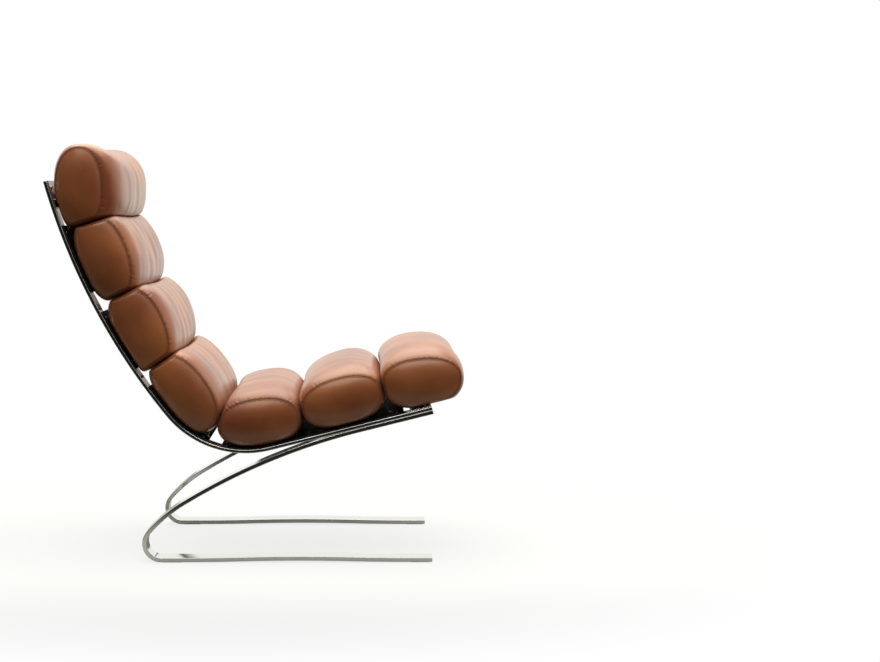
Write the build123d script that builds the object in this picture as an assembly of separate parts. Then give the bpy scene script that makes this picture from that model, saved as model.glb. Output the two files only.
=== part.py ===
from build123d import *
import math
import os

# Cantilever lounge chair: two bent flat-bar frames carry seven leather rolls on cross bands.
# Millimetres, +Z up, the sitter faces +X, the left side is +Y. Angles are in degrees.

# Width of the frame and the two flat bars
FRAME_WIDTH = 600.0
BAR_WIDTH = 60.0
STRIP_THICKNESS = 8.0
BASE_THICKNESS = 10.0
BAR_EDGE_RADIUS = 1.5

# Base bar, walked from the free front end of the runner, back and up to the front of the seat
RUNNER_LENGTH = 651.0
RUNNER_RISE = 3.5
FOOT_LENGTH = 56.0
REAR_BEND_RADIUS = 44.9
LOW_SWEEP_RADIUS = 358.0
LOW_SWEEP_TURN = 17.6
HIGH_SWEEP_RADIUS = 1512.0
HIGH_SWEEP_TURN = 17.5
CLAMP_LENGTH = 182.0

# Seat and back strip, walked from the front of the seat to the top of the back
SEAT_RISE_ANGLE = 14.1
SEAT_STRAIGHT = 401.6
HIP_RADIUS = 242.6
HIP_TURN = 65.0
BACK_RADIUS = 1537.0
BACK_TURN = 23.5

# Cross pieces on the front face of the strips, as distances along the strip: the front crossbar and the
# start of the sling from the strip's front end, the back bands and the top crossbar from its top end
CARRIER_THICKNESS = 3.0
CARRIER_EDGE_INSET = 6.0
FRONT_CROSSBAR = (1.0, 54.0)
SEAT_SLING_START = 68.0
SEAT_SLING_GAP = 33.0
LOWER_BACK_BAND = (751.0, 550.0)
MIDDLE_BACK_BAND = (498.0, 338.0)
UPPER_BACK_BAND = (286.0, 113.0)
TOP_CROSSBAR = (68.0, 0.0)

# Leather rolls: an oval section that is longest at its end panels and fullest in the middle
ROLL_HALF_LENGTH = 309.0
SEAM_INSET = 28.0
GIRTH_INSET = 17.0
END_HALF_SPAN = 102.0
END_HALF_DEPTH = 61.0
SEAM_DRAW = 2.0
TIP_SHARE = 0.55
MIDDLE_HALF_SPAN = 91.0
MIDDLE_HALF_DEPTH = 84.0
HEAD_HALF_DEPTH = 88.0
MIDDLE_SINK = 8.0
END_LIFT = 5.0
COVER_WALL = 3.0
SOFT_CLEARANCE = 0.3
ROLL_GAP = 0.6

# Place of each roll along the strip: the seat rolls from its front end, the back rolls from its top end.
# The front roll's slat is screwed down a little behind the roll's middle, to meet the front crossbar.
SEAT_ROLLS = {"front_seat": 6.0, "middle_seat": 204.0, "rear_seat": 416.0}
BACK_ROLLS = {"lower_back": 619.0, "middle_back": 417.0, "upper_back": 220.0, "head": 32.0}
FRONT_SLAT_SHIFT = 12.0

# Slat inside each roll and its two screws
SLAT_WIDTH = 30.0
SLAT_HALF_LENGTH = 130.0
SLAT_THICKNESS = 6.0
SLAT_SCREW_Y = 100.0

# Fasteners
SCREW_RADIUS = 2.0
SCREW_HOLE_PLAY = 0.2
SEAT_PLAY = 0.1
SCREW_HEAD_RADIUS = 5.0
SCREW_HEAD_HEIGHT = 2.4
SCREW_GRIP = 5.0
SCREW_END_INSET = 18.0
BOLT_RADIUS = 4.0
BOLT_HEAD_RADIUS = 8.0
BOLT_HEAD_DEPTH = 4.0
BOLT_TOP_RECESS = 1.0
BOLT_PLACES = (61.0, 150.0)

# Bent clips that stand between neighbouring rolls, and the glides under the runners
FRONT_CLIP_PLACE = 104.0
BACK_CLIP_PLACES = (744.0, 122.0)
CLIP_FOOT = 12.0
CLIP_WIDTH = 14.0
CLIP_THICKNESS = 1.6
CLIP_HEIGHT = 12.0
CLIP_INSET = 12.0
GLIDE_THICKNESS = 1.5
GLIDE_LENGTH = 44.0
GLIDE_EDGE_INSET = 7.0

# Values that follow from the driving dimensions
HALF_WIDTH = FRAME_WIDTH / 2
INNER_HALF_WIDTH = HALF_WIDTH - BAR_WIDTH
BAR_CENTRE_Y = HALF_WIDTH - BAR_WIDTH / 2
CARRIER_TOP = STRIP_THICKNESS + CARRIER_THICKNESS
SEAM_Y = ROLL_HALF_LENGTH - SEAM_INSET
GIRTH_Y = ROLL_HALF_LENGTH - GIRTH_INSET
SIDES = {"right": -1, "left": 1}
SUPPORT_MARGIN = 250.0
SUPPORT_DEPTH = 120.0
SUPPORT_REACH = 150.0
CUT_SIZE = 1500.0
END_HEIGHT = END_HALF_DEPTH + END_LIFT
STANDING = (Align.CENTER, Align.CENTER, Align.MIN)
HANGING = (Align.CENTER, Align.CENTER, Align.MAX)


def straight(length):
    """A straight run of a bar: its length and no turn."""
    return (length, 0.0)


def bend(radius, turn):
    """A bend of a bar: the length of its arc and its turn, positive to the left."""
    return (radius * math.radians(abs(turn)), turn)


class Track:
    """Side view of one face of a bent bar: straights and bends, walked from its first end."""

    def __init__(self, start, heading, runs):
        self.start = start
        self.heading = heading
        self.runs = runs
        self.length = sum(length for length, turn in runs)

    def at(self, distance, offset=0.0):
        """Point at a distance along the track, moved to its right by the offset, and the heading."""
        x, z = self.start
        heading = math.radians(self.heading)
        left = distance
        last = len(self.runs) - 1
        for index, (length, turn) in enumerate(self.runs):
            step = left if index == last else min(left, length)
            if turn == 0.0:
                x += step * math.cos(heading)
                z += step * math.sin(heading)
            else:
                radius = length / math.radians(turn)
                new_heading = heading + step / radius
                x += radius * (math.sin(new_heading) - math.sin(heading))
                z += radius * (math.cos(heading) - math.cos(new_heading))
                heading = new_heading
            left -= step
            if left <= 0:
                break
        x += offset * math.sin(heading)
        z -= offset * math.cos(heading)
        return x, z, math.degrees(heading)

    def breaks(self, first, last):
        """Distances between first and last at which a run ends, with the two ends themselves."""
        marks = [first]
        total = 0.0
        for length, turn in self.runs:
            total += length
            if first < total < last:
                marks.append(total)
        return marks + [last]

    def edges(self, first, last, offset, y):
        """Lines and arcs of the track from first to last, moved to its right by the offset."""
        marks = self.breaks(first, last)
        drawn = []
        for begin, end in zip(marks[:-1], marks[1:]):
            spots = [self.at(spot, offset) for spot in (begin, (begin + end) / 2, end)]
            corners = [Vector(x, y, z) for x, z, heading in spots]
            if abs(spots[0][2] - spots[2][2]) < 1e-9:
                drawn.append(Edge.make_line(corners[0], corners[2]))
            else:
                drawn.append(Edge.make_three_point_arc(*corners))
        return drawn

    def ribbon(self, first, last, low, high, y_low, y_high):
        """Solid between two offsets from the track, from first to last and from y_low to y_high."""
        lower = self.edges(first, last, low, y_low)
        upper = self.edges(first, last, high, y_low)
        ends = [Edge.make_line(lower[0] @ 0, upper[0] @ 0), Edge.make_line(lower[-1] @ 1, upper[-1] @ 1)]
        outline = Wire.combine(lower + upper + ends)[0]
        return Solid.extrude(Face(outline), Vector(0, y_high - y_low, 0))

    def place(self, distance, offset, y):
        """Plane on the track: its normal points to the track's right, its X along the track."""
        x, z, heading = self.at(distance, offset)
        turn = math.radians(heading)
        along = Vector(math.cos(turn), 0, math.sin(turn))
        normal = Vector(math.sin(turn), 0, -math.cos(turn))
        return Plane(origin=(x, y, z), x_dir=along, z_dir=normal)


def side_span(side):
    """Lowest and highest Y of the bars on one side."""
    edges = (SIDES[side] * INNER_HALF_WIDTH, SIDES[side] * HALF_WIDTH)
    return min(edges), max(edges)


def rounded_bar(track, thickness, y_low, y_high):
    """Flat bar on the right of a track, with its long edges rounded."""
    bar = track.ribbon(0.0, track.length, 0.0, thickness, y_low, y_high)
    long_edges = [edge for edge in bar.edges() if not is_end_edge(edge, thickness)]
    return bar.fillet(BAR_EDGE_RADIUS, long_edges)


def is_end_edge(edge, thickness):
    """True for edges across the bar, and for the short edges at its two ends."""
    first, last = edge @ 0, edge @ 1
    across = abs(first.Y - last.Y) > BAR_EDGE_RADIUS
    short = (last - first).length < thickness + BAR_EDGE_RADIUS
    return across or short


# Tracks of the base bar and of the seat and back strip
rear_heading = SEAT_RISE_ANGLE + HIGH_SWEEP_TURN + LOW_SWEEP_TURN
bow_length = RUNNER_LENGTH - 2 * FOOT_LENGTH
bow_turn = math.degrees(4 * RUNNER_RISE / bow_length)
bow_radius = bow_length / 4 / math.radians(bow_turn)
base_track = Track((0.0, GLIDE_THICKNESS), 180.0, [
    straight(FOOT_LENGTH),
    bend(bow_radius, -bow_turn),
    bend(bow_radius, 2 * bow_turn),
    bend(bow_radius, -bow_turn),
    straight(FOOT_LENGTH),
    bend(REAR_BEND_RADIUS, rear_heading - 180.0),
    bend(LOW_SWEEP_RADIUS, -LOW_SWEEP_TURN),
    bend(HIGH_SWEEP_RADIUS, -HIGH_SWEEP_TURN),
    straight(CLAMP_LENGTH),
])
front_x, front_z, front_heading = base_track.at(base_track.length)
seat_runs = [straight(SEAT_STRAIGHT), bend(HIP_RADIUS, -HIP_TURN), bend(BACK_RADIUS, -BACK_TURN)]
seat_track = Track((front_x, front_z), 180.0 + SEAT_RISE_ANGLE, seat_runs)

# The same strip line, carried on straight past both ends, for what rests on it
ahead_x, ahead_z, ahead_heading = seat_track.at(-SUPPORT_MARGIN)
support_runs = [straight(SUPPORT_MARGIN + SEAT_STRAIGHT)] + seat_runs[1:] + [straight(SUPPORT_MARGIN)]
support_track = Track((ahead_x, ahead_z), 180.0 + SEAT_RISE_ANGLE, support_runs)


def drill(target, track, distance, y, radius, low, high):
    """Cut a round hole square to the track, between two offsets."""
    hole = track.place(distance, low, y) * Cylinder(radius, high - low, align=STANDING)
    return target - hole


def dome_screw(place, grip):
    """Domed screw on a plane: its head stands above the plane, its shank goes grip deep below."""
    head = Cylinder(SCREW_HEAD_RADIUS, SCREW_HEAD_HEIGHT, align=STANDING)
    head = fillet(head.edges().group_by(Axis.Z)[-1], SCREW_HEAD_HEIGHT * 0.8)
    shank = Cylinder(SCREW_RADIUS, grip, align=HANGING)
    return place * (head + shank)


def screw_spots(span):
    """Two distances along a cross piece, one near each of its ends."""
    return (span[0] + SCREW_END_INSET, span[1] - SCREW_END_INSET)


def below_top(distance):
    """Distance along the strip of a spot that is measured from its top end."""
    return seat_track.length - distance


# Cross pieces and rolls by name, with their distances along the strip from its front end
back_bands = {
    "lower_back_band": LOWER_BACK_BAND,
    "middle_back_band": MIDDLE_BACK_BAND,
    "upper_back_band": UPPER_BACK_BAND,
    "top_crossbar": TOP_CROSSBAR,
}
carriers = {
    "front_crossbar": FRONT_CROSSBAR,
    "seat_sling": (SEAT_SLING_START, below_top(LOWER_BACK_BAND[0]) - SEAT_SLING_GAP),
}
for name, (first, last) in back_bands.items():
    carriers[name] = (below_top(first), below_top(last))
roll_places = dict(SEAT_ROLLS)
for name, distance in BACK_ROLLS.items():
    roll_places[name] = below_top(distance)
slat_places = dict(roll_places)
slat_places["front_seat"] += FRONT_SLAT_SHIFT
clip_places = [FRONT_CLIP_PLACE] + [below_top(distance) for distance in BACK_CLIP_PLACES]
hole_radius = SCREW_RADIUS + SCREW_HOLE_PLAY
parts = {}

# Base bars, with countersunk bolts up through them into the seat strips
bolts = []
for side, sign in SIDES.items():
    y_low, y_high = side_span(side)
    base = rounded_bar(base_track, BASE_THICKNESS, y_low, y_high)
    strip = rounded_bar(seat_track, STRIP_THICKNESS, y_low, y_high)
    y = sign * BAR_CENTRE_Y
    for distance in BOLT_PLACES:
        seat_place = seat_track.place(distance, 0.0, y)
        sink = Cone(BOLT_HEAD_RADIUS, BOLT_RADIUS, BOLT_HEAD_DEPTH, align=STANDING)
        shank_length = BASE_THICKNESS + STRIP_THICKNESS - BOLT_TOP_RECESS
        shank = Cylinder(BOLT_RADIUS, shank_length, align=STANDING)
        foot = seat_place.offset(-BASE_THICKNESS)
        bolt = foot * (sink + shank)
        bore_radius = BOLT_RADIUS + SCREW_HOLE_PLAY
        base = drill(base, seat_track, distance, y, bore_radius, -BASE_THICKNESS, 0.0)
        seat_sink = Cone(BOLT_HEAD_RADIUS + SCREW_HOLE_PLAY, bore_radius, BOLT_HEAD_DEPTH,
                         align=STANDING)
        base -= foot * seat_sink
        strip = drill(strip, seat_track, distance, y, bore_radius, 0.0, STRIP_THICKNESS)
        bolts.append(bolt)
    for span in carriers.values():
        for distance in screw_spots(span):
            depth = STRIP_THICKNESS - SCREW_GRIP
            strip = drill(strip, seat_track, distance, y, hole_radius, depth, STRIP_THICKNESS)
    parts[side + "_base_bar"] = base
    parts[side + "_seat_strip"] = strip
parts["frame_bolts"] = Compound(children=bolts)

# Cross pieces and the screws that hold them to the strips
band_screws = []
carrier_half_width = HALF_WIDTH - CARRIER_EDGE_INSET
for name, span in carriers.items():
    carrier = seat_track.ribbon(*span, STRIP_THICKNESS, CARRIER_TOP, -carrier_half_width, carrier_half_width)
    for distance in screw_spots(span):
        for sign in SIDES.values():
            y = sign * BAR_CENTRE_Y
            carrier = drill(carrier, seat_track, distance, y, hole_radius, STRIP_THICKNESS, CARRIER_TOP)
            place = seat_track.place(distance, CARRIER_TOP + SEAT_PLAY, y)
            band_screws.append(dome_screw(place, CARRIER_THICKNESS + SCREW_GRIP - SOFT_CLEARANCE))
    for fixing in slat_places.values():
        if span[0] < fixing < span[1]:
            for sign in SIDES.values():
                y = sign * SLAT_SCREW_Y
                carrier = drill(carrier, seat_track, fixing, y, hole_radius, STRIP_THICKNESS, CARRIER_TOP)
    parts[name] = carrier
parts["band_screws"] = Compound(children=band_screws)


def oval(place, half_span, half_depth):
    """Closed oval of four arcs on a plane, longest along the plane's X."""
    diagonal = math.hypot(half_span, half_depth)
    difference = (half_span - half_depth) * diagonal
    tip_radius = (diagonal ** 2 - difference) / (2 * half_span)
    flank_radius = (diagonal ** 2 + difference) / (2 * half_depth)
    tip_centre = half_span - tip_radius
    reach = tip_radius / (flank_radius - tip_radius)
    join_u = tip_centre * (1 + reach)
    join_v = (flank_radius - half_depth) * reach
    joins = [(join_u, -join_v), (join_u, join_v), (-join_u, join_v), (-join_u, -join_v)]
    tops = [(half_span, 0), (0, half_depth), (-half_span, 0), (0, -half_depth)]
    arcs = []
    for index, top in enumerate(tops):
        spots = (joins[index], top, joins[(index + 1) % len(joins)])
        arcs.append(Edge.make_three_point_arc(*[place.from_local_coords((u, v, 0)) for u, v in spots]))
    return Wire.combine(arcs)[0]


def roll_stuffing(middle_depth, inset):
    """Roll by itself: a swelling body with two domed end panels, X along the strip, Z away from it."""
    seam_span = END_HALF_SPAN - SEAM_DRAW
    seam_depth = END_HALF_DEPTH - SEAM_DRAW

    def section(y, height, span, depth):
        plane = Plane(origin=(0, y, height), x_dir=(1, 0, 0), z_dir=(0, -1, 0))
        return oval(plane, span - inset, depth - inset)

    def body_section(share):
        swell = 1 - abs(share) ** 2.5
        span = seam_span + (MIDDLE_HALF_SPAN - seam_span) * swell
        depth = seam_depth + (middle_depth - seam_depth) * swell
        height = END_HEIGHT + (middle_depth - MIDDLE_SINK - END_HEIGHT) * swell
        return section(share * SEAM_Y, height, span, depth)

    stuffing = Solid.make_loft([body_section(share) for share in (-1.0, -0.5, 0.0, 0.5, 1.0)])
    for sign in SIDES.values():
        seam = section(sign * SEAM_Y, END_HEIGHT, seam_span, seam_depth)
        girth = section(sign * GIRTH_Y, END_HEIGHT, END_HALF_SPAN, END_HALF_DEPTH)
        tip_y = sign * (ROLL_HALF_LENGTH - inset)
        tip = section(tip_y, END_HEIGHT, END_HALF_SPAN * TIP_SHARE, END_HALF_DEPTH * TIP_SHARE)
        stuffing = stuffing + Solid.make_loft([seam, girth, tip])
    return stuffing


def roll_form(name, stuffing, inset):
    """Stuffing pressed flat on its cross piece and against its neighbours, drawn in by the inset."""
    centre = roll_places[name]
    form = support_track.place(centre + SUPPORT_MARGIN, CARRIER_TOP, 0.0) * stuffing
    seat_level = CARRIER_TOP + SOFT_CLEARANCE + inset
    first = centre + SUPPORT_MARGIN - SUPPORT_REACH
    last = centre + SUPPORT_MARGIN + SUPPORT_REACH
    form -= support_track.ribbon(first, last, seat_level - SUPPORT_DEPTH, seat_level,
                                 -ROLL_HALF_LENGTH, ROLL_HALF_LENGTH)
    names = list(roll_places)
    index = names.index(name)
    own = roll_axis(name)
    for other_index in (index - 1, index + 1):
        if 0 <= other_index < len(names):
            other = roll_axis(names[other_index])
            away = (other - own).normalized()
            face = (own + other) * 0.5 - away * (ROLL_GAP / 2 + inset)
            cutter = Plane(origin=face, x_dir=(0, 1, 0), z_dir=away)
            form -= cutter * Box(CUT_SIZE, CUT_SIZE, CUT_SIZE, align=STANDING)
    return form


def roll_axis(name):
    """Point on a roll's axis in side view."""
    return support_track.place(roll_places[name] + SUPPORT_MARGIN, CARRIER_TOP + END_HEIGHT, 0.0).origin


# Rolls: leather cover, foam core and the slat that the screws pull against the cross piece
slat_screws = []
slat_low = CARRIER_TOP + COVER_WALL + 2 * SOFT_CLEARANCE
slat_high = slat_low + SLAT_THICKNESS
screw_grip = slat_high - STRIP_THICKNESS - 1.0
insets = {"outside": 0.0, "inside": COVER_WALL, "core": COVER_WALL + SOFT_CLEARANCE}
body_stuffing = {key: roll_stuffing(MIDDLE_HALF_DEPTH, inset) for key, inset in insets.items()}
head_stuffing = {key: roll_stuffing(HEAD_HALF_DEPTH, inset) for key, inset in insets.items()}
for name, fixing in slat_places.items():
    stuffing = head_stuffing if name == "head" else body_stuffing
    forms = {key: roll_form(name, stuffing[key], inset) for key, inset in insets.items()}
    cover = forms["outside"] - forms["inside"]
    core = forms["core"]
    first = fixing + SUPPORT_MARGIN - SLAT_WIDTH / 2
    last = fixing + SUPPORT_MARGIN + SLAT_WIDTH / 2
    slat = support_track.ribbon(first, last, slat_low, slat_high, -SLAT_HALF_LENGTH, SLAT_HALF_LENGTH)
    pocket_y = SLAT_HALF_LENGTH + SOFT_CLEARANCE
    core -= support_track.ribbon(first - SOFT_CLEARANCE, last + SOFT_CLEARANCE,
                                 0.0, slat_high + SOFT_CLEARANCE, -pocket_y, pocket_y)
    for sign in SIDES.values():
        y = sign * SLAT_SCREW_Y
        cover = drill(cover, seat_track, fixing, y, hole_radius, STRIP_THICKNESS, slat_low)
        slat = drill(slat, seat_track, fixing, y, hole_radius, STRIP_THICKNESS, slat_high)
        rear = seat_track.place(fixing, STRIP_THICKNESS - SEAT_PLAY, y)
        facing_back = Plane(origin=rear.origin, x_dir=rear.x_dir, z_dir=-rear.z_dir)
        slat_screws.append(dome_screw(facing_back, screw_grip))
    parts[name + "_roll_cover"] = cover
    parts[name + "_roll_core"] = core
    parts[name + "_roll_slat"] = slat
parts["slat_screws"] = Compound(children=slat_screws)

# Bent clips between neighbouring rolls, standing on the cross pieces beside the strips
clips = []
for distance in clip_places:
    for sign in SIDES.values():
        place = seat_track.place(distance, CARRIER_TOP + SEAT_PLAY, sign * (INNER_HALF_WIDTH - CLIP_INSET))
        foot = Box(CLIP_FOOT, CLIP_WIDTH, CLIP_THICKNESS, align=STANDING)
        tongue = Box(CLIP_THICKNESS, CLIP_WIDTH, CLIP_HEIGHT, align=STANDING)
        clips.append(place * (foot + tongue))
parts["roll_clips"] = Compound(children=clips)

# Thin glides under the flat ends of both runners
glides = []
glide_margin = (FOOT_LENGTH - GLIDE_LENGTH) / 2
for side in SIDES:
    y_low, y_high = side_span(side)
    for start in (glide_margin, RUNNER_LENGTH - FOOT_LENGTH + glide_margin):
        glides.append(base_track.ribbon(start, start + GLIDE_LENGTH, -GLIDE_THICKNESS, 0.0,
                                        y_low + GLIDE_EDGE_INSET, y_high - GLIDE_EDGE_INSET))
parts["floor_glides"] = Compound(children=glides)

# The origin is on the floor, below the middle of the whole chair
boxes = [shape.bounding_box() for shape in parts.values()]
low_x = min(box.min.X for box in boxes)
high_x = max(box.max.X for box in boxes)
to_origin = Location((-(low_x + high_x) / 2, 0, 0))
os.makedirs("parts", exist_ok=True)
for name, shape in parts.items():
    export_step(to_origin * shape, "parts/" + name + ".step")
height = max(box.max.Z for box in boxes)
print(len(parts), "nodes, depth", round(high_x - low_x, 1), "height", round(height, 1))
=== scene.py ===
# %% [markdown]
# # A cantilever lounge chair in chromed flat bar and tan leather
# Two bent flat bars on each side carry seven stuffed leather rolls on black cross bands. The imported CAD
# model gives every place and size, and this lesson dresses it: the bars become smooth chromed surfaces, the
# rolls become sewn and wrinkled leather, and each fastener gets its own small form.

# %% Load the frame
import math
from collections import namedtuple
import bpy
import numpy as np
from mathutils import Matrix, Vector


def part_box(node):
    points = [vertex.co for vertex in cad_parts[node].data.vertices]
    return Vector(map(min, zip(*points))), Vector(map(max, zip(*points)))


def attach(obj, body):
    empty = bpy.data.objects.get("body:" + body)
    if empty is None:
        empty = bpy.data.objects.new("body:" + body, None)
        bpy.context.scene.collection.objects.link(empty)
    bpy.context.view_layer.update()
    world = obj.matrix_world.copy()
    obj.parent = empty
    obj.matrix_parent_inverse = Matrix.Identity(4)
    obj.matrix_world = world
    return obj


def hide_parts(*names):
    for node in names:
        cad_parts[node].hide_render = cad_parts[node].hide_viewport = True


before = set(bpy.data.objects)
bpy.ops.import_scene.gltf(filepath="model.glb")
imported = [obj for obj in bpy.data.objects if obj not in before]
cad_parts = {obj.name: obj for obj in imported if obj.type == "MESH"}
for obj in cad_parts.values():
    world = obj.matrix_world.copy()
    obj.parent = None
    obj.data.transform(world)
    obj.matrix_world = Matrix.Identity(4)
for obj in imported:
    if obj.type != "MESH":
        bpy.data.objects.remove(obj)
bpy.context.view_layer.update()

scene = bpy.context.scene
MM = 0.001

# %% [markdown]
# ## Camera
# The chair is seen from its right side, a little from above and from ahead. A camera can be aimed with a
# tracking constraint, but here its place, three angles and focal length are written down, so that the
# picture has the photograph's perspective exactly. The focal length is in pixels of an 880 pixel wide frame.

# %% Camera
FRAME_PIXELS = 880
FOCAL_PIXELS = 1893.5
CAMERA_PLACE = Vector((0.2489, -4.8157, 0.8668))
CAMERA_YAW = math.radians(2.442)
CAMERA_PITCH = math.radians(3.883)
CAMERA_ROLL = math.radians(0.384)

view_line = Vector((math.sin(CAMERA_YAW) * math.cos(CAMERA_PITCH),
                    math.cos(CAMERA_YAW) * math.cos(CAMERA_PITCH),
                    -math.sin(CAMERA_PITCH)))
level_right = Vector((math.cos(CAMERA_YAW), -math.sin(CAMERA_YAW), 0))
level_up = level_right.cross(view_line)
right = level_right * math.cos(CAMERA_ROLL) + level_up * math.sin(CAMERA_ROLL)
up = level_up * math.cos(CAMERA_ROLL) - level_right * math.sin(CAMERA_ROLL)

camera_data = bpy.data.cameras.new("studio_camera")
camera_data.sensor_width = 36
camera_data.lens = FOCAL_PIXELS * camera_data.sensor_width / FRAME_PIXELS
camera = bpy.data.objects.new("studio_camera", camera_data)
turn = Matrix((right, up, -view_line)).transposed().to_4x4()
camera.matrix_world = Matrix.Translation(CAMERA_PLACE) @ turn
scene.collection.objects.link(camera)
scene.camera = camera
scene.view_settings.view_transform = "Standard"
print("lens", round(camera_data.lens, 2), "mm")

# %% [markdown]
# ## Shader maths
# A finish is a tree of nodes. Writing the tree as Python sums keeps it readable: a wire stands for one
# output, an operator between wires adds a Math node, and one method adds every other kind of node.

# %% Wires of a node tree
class Wire:
    """One output in a node tree. Operators add Math nodes, and node() adds any other node."""

    def __init__(self, tree, socket=None):
        self.tree = tree
        self.socket = socket

    def node(self, kind, settings=None, sockets=None, out=0):
        """New node: its settings first, then its sockets by name or number."""
        made = self.tree.nodes.new("ShaderNode" + kind)
        for key, value in (settings or {}).items():
            setattr(made, key, value)
        for key, value in (sockets or {}).items():
            if isinstance(value, Wire):
                self.tree.links.new(value.socket, made.inputs[key])
            else:
                made.inputs[key].default_value = value
        return Wire(self.tree, made.outputs[out] if len(made.outputs) else None)

    def math(self, operation, first, second=0.0, third=0.0):
        return self.node("Math", {"operation": operation}, {0: first, 1: second, 2: third})

    def __add__(self, other):
        return self.math("ADD", self, other)

    def __radd__(self, other):
        return self.math("ADD", other, self)

    def __sub__(self, other):
        return self.math("SUBTRACT", self, other)

    def __rsub__(self, other):
        return self.math("SUBTRACT", other, self)

    def __mul__(self, other):
        return self.math("MULTIPLY", self, other)

    def __rmul__(self, other):
        return self.math("MULTIPLY", other, self)

    def ease(self, low, high):
        """0 below low, 1 above high, with a smooth step between them."""
        return self.node("MapRange", {"interpolation_type": "SMOOTHSTEP"}, {0: self, 1: low, 2: high})

    def between(self, first, second):
        """Colour that goes from first to second as this wire goes from 0 to 1."""
        return self.node("Mix", {"data_type": "RGBA"}, {0: self, 6: first, 7: second}, out=2)


def tint(red, green, blue):
    """Linear colour from the three screen values, 0 to 255."""
    screen = np.array([red, green, blue]) / 255
    linear = np.where(screen <= 0.04045, screen / 12.92, ((screen + 0.055) / 1.055) ** 2.4)
    return (*[float(value) for value in linear], 1.0)


def grey(value):
    return (value, value, value, 1)


def new_finish(name):
    """Empty material, a bare wire of its tree, and the wire of each point's place on its object."""
    material = bpy.data.materials.new(name)
    material.use_nodes = True
    material.node_tree.nodes.clear()
    wire = Wire(material.node_tree)
    return material, wire, wire.node("TexCoord", {}, {}, out=3)


def noise(wire, place, scale, detail):
    """Cloudy noise about one half, with more and smaller clouds as the scale grows."""
    return wire.node("TexNoise", {}, {"Vector": place, "Scale": scale, "Detail": detail})


def bump(wire, strength, distance, height):
    """Normal that follows a height, which is the distance in metres at its full value."""
    return wire.node("Bump", {}, {"Strength": strength, "Distance": distance, "Height": height})


def close_finish(wire, settings, normal=None):
    """Principled shader with its sockets, a bump wire as its normal, and the material's output."""
    sockets = dict(settings)
    if normal is not None:
        sockets["Normal"] = normal
    shader = wire.node("BsdfPrincipled", {}, sockets)
    wire.node("OutputMaterial", {}, {"Surface": shader})


print("shader wires ready")

# %% [markdown]
# ## Studio
# Chrome only looks like chrome when there is something dark to mirror. A photographer stands in the dark and
# lets a white wall face the far side, and the same is done here. The camera sees plain white, mirrors see a
# white wall that fades to a dark room behind the camera, and the same room gives a soft warm fill. A wide
# lamp overhead lights the rolls, a weaker one behind gives the seat its pale sheen, and a faint one in front
# lifts the back. The floor keeps a soft shadow.

# %% World
WALL_DIRECTION = (0.12, 0.78, 0.60)
WALL_FADE = (-0.30, 0.45)
WALL_COLOUR = (1.0, 0.99, 0.93, 1)
ROOM_DARK = 0.012
FILL_COLOUR = (1.0, 0.985, 0.82, 1)
FILL_STRENGTH = 0.84
FILL_BASE = 0.19
BACK_GLOW = 0.10
BACK_GLOW_FADE = (0.45, 0.95)
WHITE = (1, 1, 1, 1)

world = bpy.data.worlds.new("studio")
world.use_nodes = True
world.node_tree.nodes.clear()
scene.world = world
sky = Wire(world.node_tree)
facing = sky.node("TexCoord", {}, {}, out=0)
toward_wall = sky.node("VectorMath", {"operation": "DOT_PRODUCT"}, {0: facing, 1: WALL_DIRECTION}, out=1)
wall = toward_wall.ease(*WALL_FADE) * (1 - ROOM_DARK) + ROOM_DARK
behind = sky.node("SeparateXYZ", {}, {0: facing}, out=1)
camera_ray = sky.node("LightPath", {}, {}, out=0)
glossy_ray = sky.node("LightPath", {}, {}, out=3)
clear_ray = sky.node("LightPath", {}, {}, out=6)
seen = sky.math("MINIMUM", camera_ray + clear_ray, 1.0)
mirrored = sky.math("MINIMUM", camera_ray + glossy_ray + clear_ray, 1.0)
wall_colour = seen.between(WALL_COLOUR, WHITE)
backdrop = sky.node("Background", {}, {0: wall_colour, 1: seen + (1 - seen) * wall})
fill_level = FILL_STRENGTH * (FILL_BASE + (1 - FILL_BASE) * wall) + BACK_GLOW * behind.ease(*BACK_GLOW_FADE)
fill = sky.node("Background", {}, {0: FILL_COLOUR, 1: fill_level})
both = sky.node("MixShader", {}, {0: mirrored, 1: fill, 2: backdrop})
sky.node("OutputWorld", {}, {"Surface": both})
print("world lit")

# %% Floor and lamps
FLOOR_HALF = 6.0
FLOOR_MIRRORED = (0.42, 0.46)
FLOOR_DIFFUSE = 0.16
# Painted shade on the floor toward the camera: its tone, and where along Y it fades in
FLOOR_DARK = 0.02
FLOOR_DARK_Y = (-1.2, -0.4)
FLOOR_GLOW = 0.80
FLOOR_WHITE_REACH = (0.7, 1.5)
LAMP_COLOUR = (1.0, 0.985, 0.86)
# Place, aim, size and power of each lamp, in metres and watts
LAMPS = {
    "key_lamp": ((0.1, -0.35, 2.9), (0.0, 0.0, 0.45), 3.0, 66),
    "back_lamp": ((-0.1, 1.30, 2.6), (0.0, 0.0, 0.45), 2.2, 25),
    "front_lamp": ((2.6, -0.9, 1.5), (-0.1, 0.0, 0.5), 1.6, 2.5),
}


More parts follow.
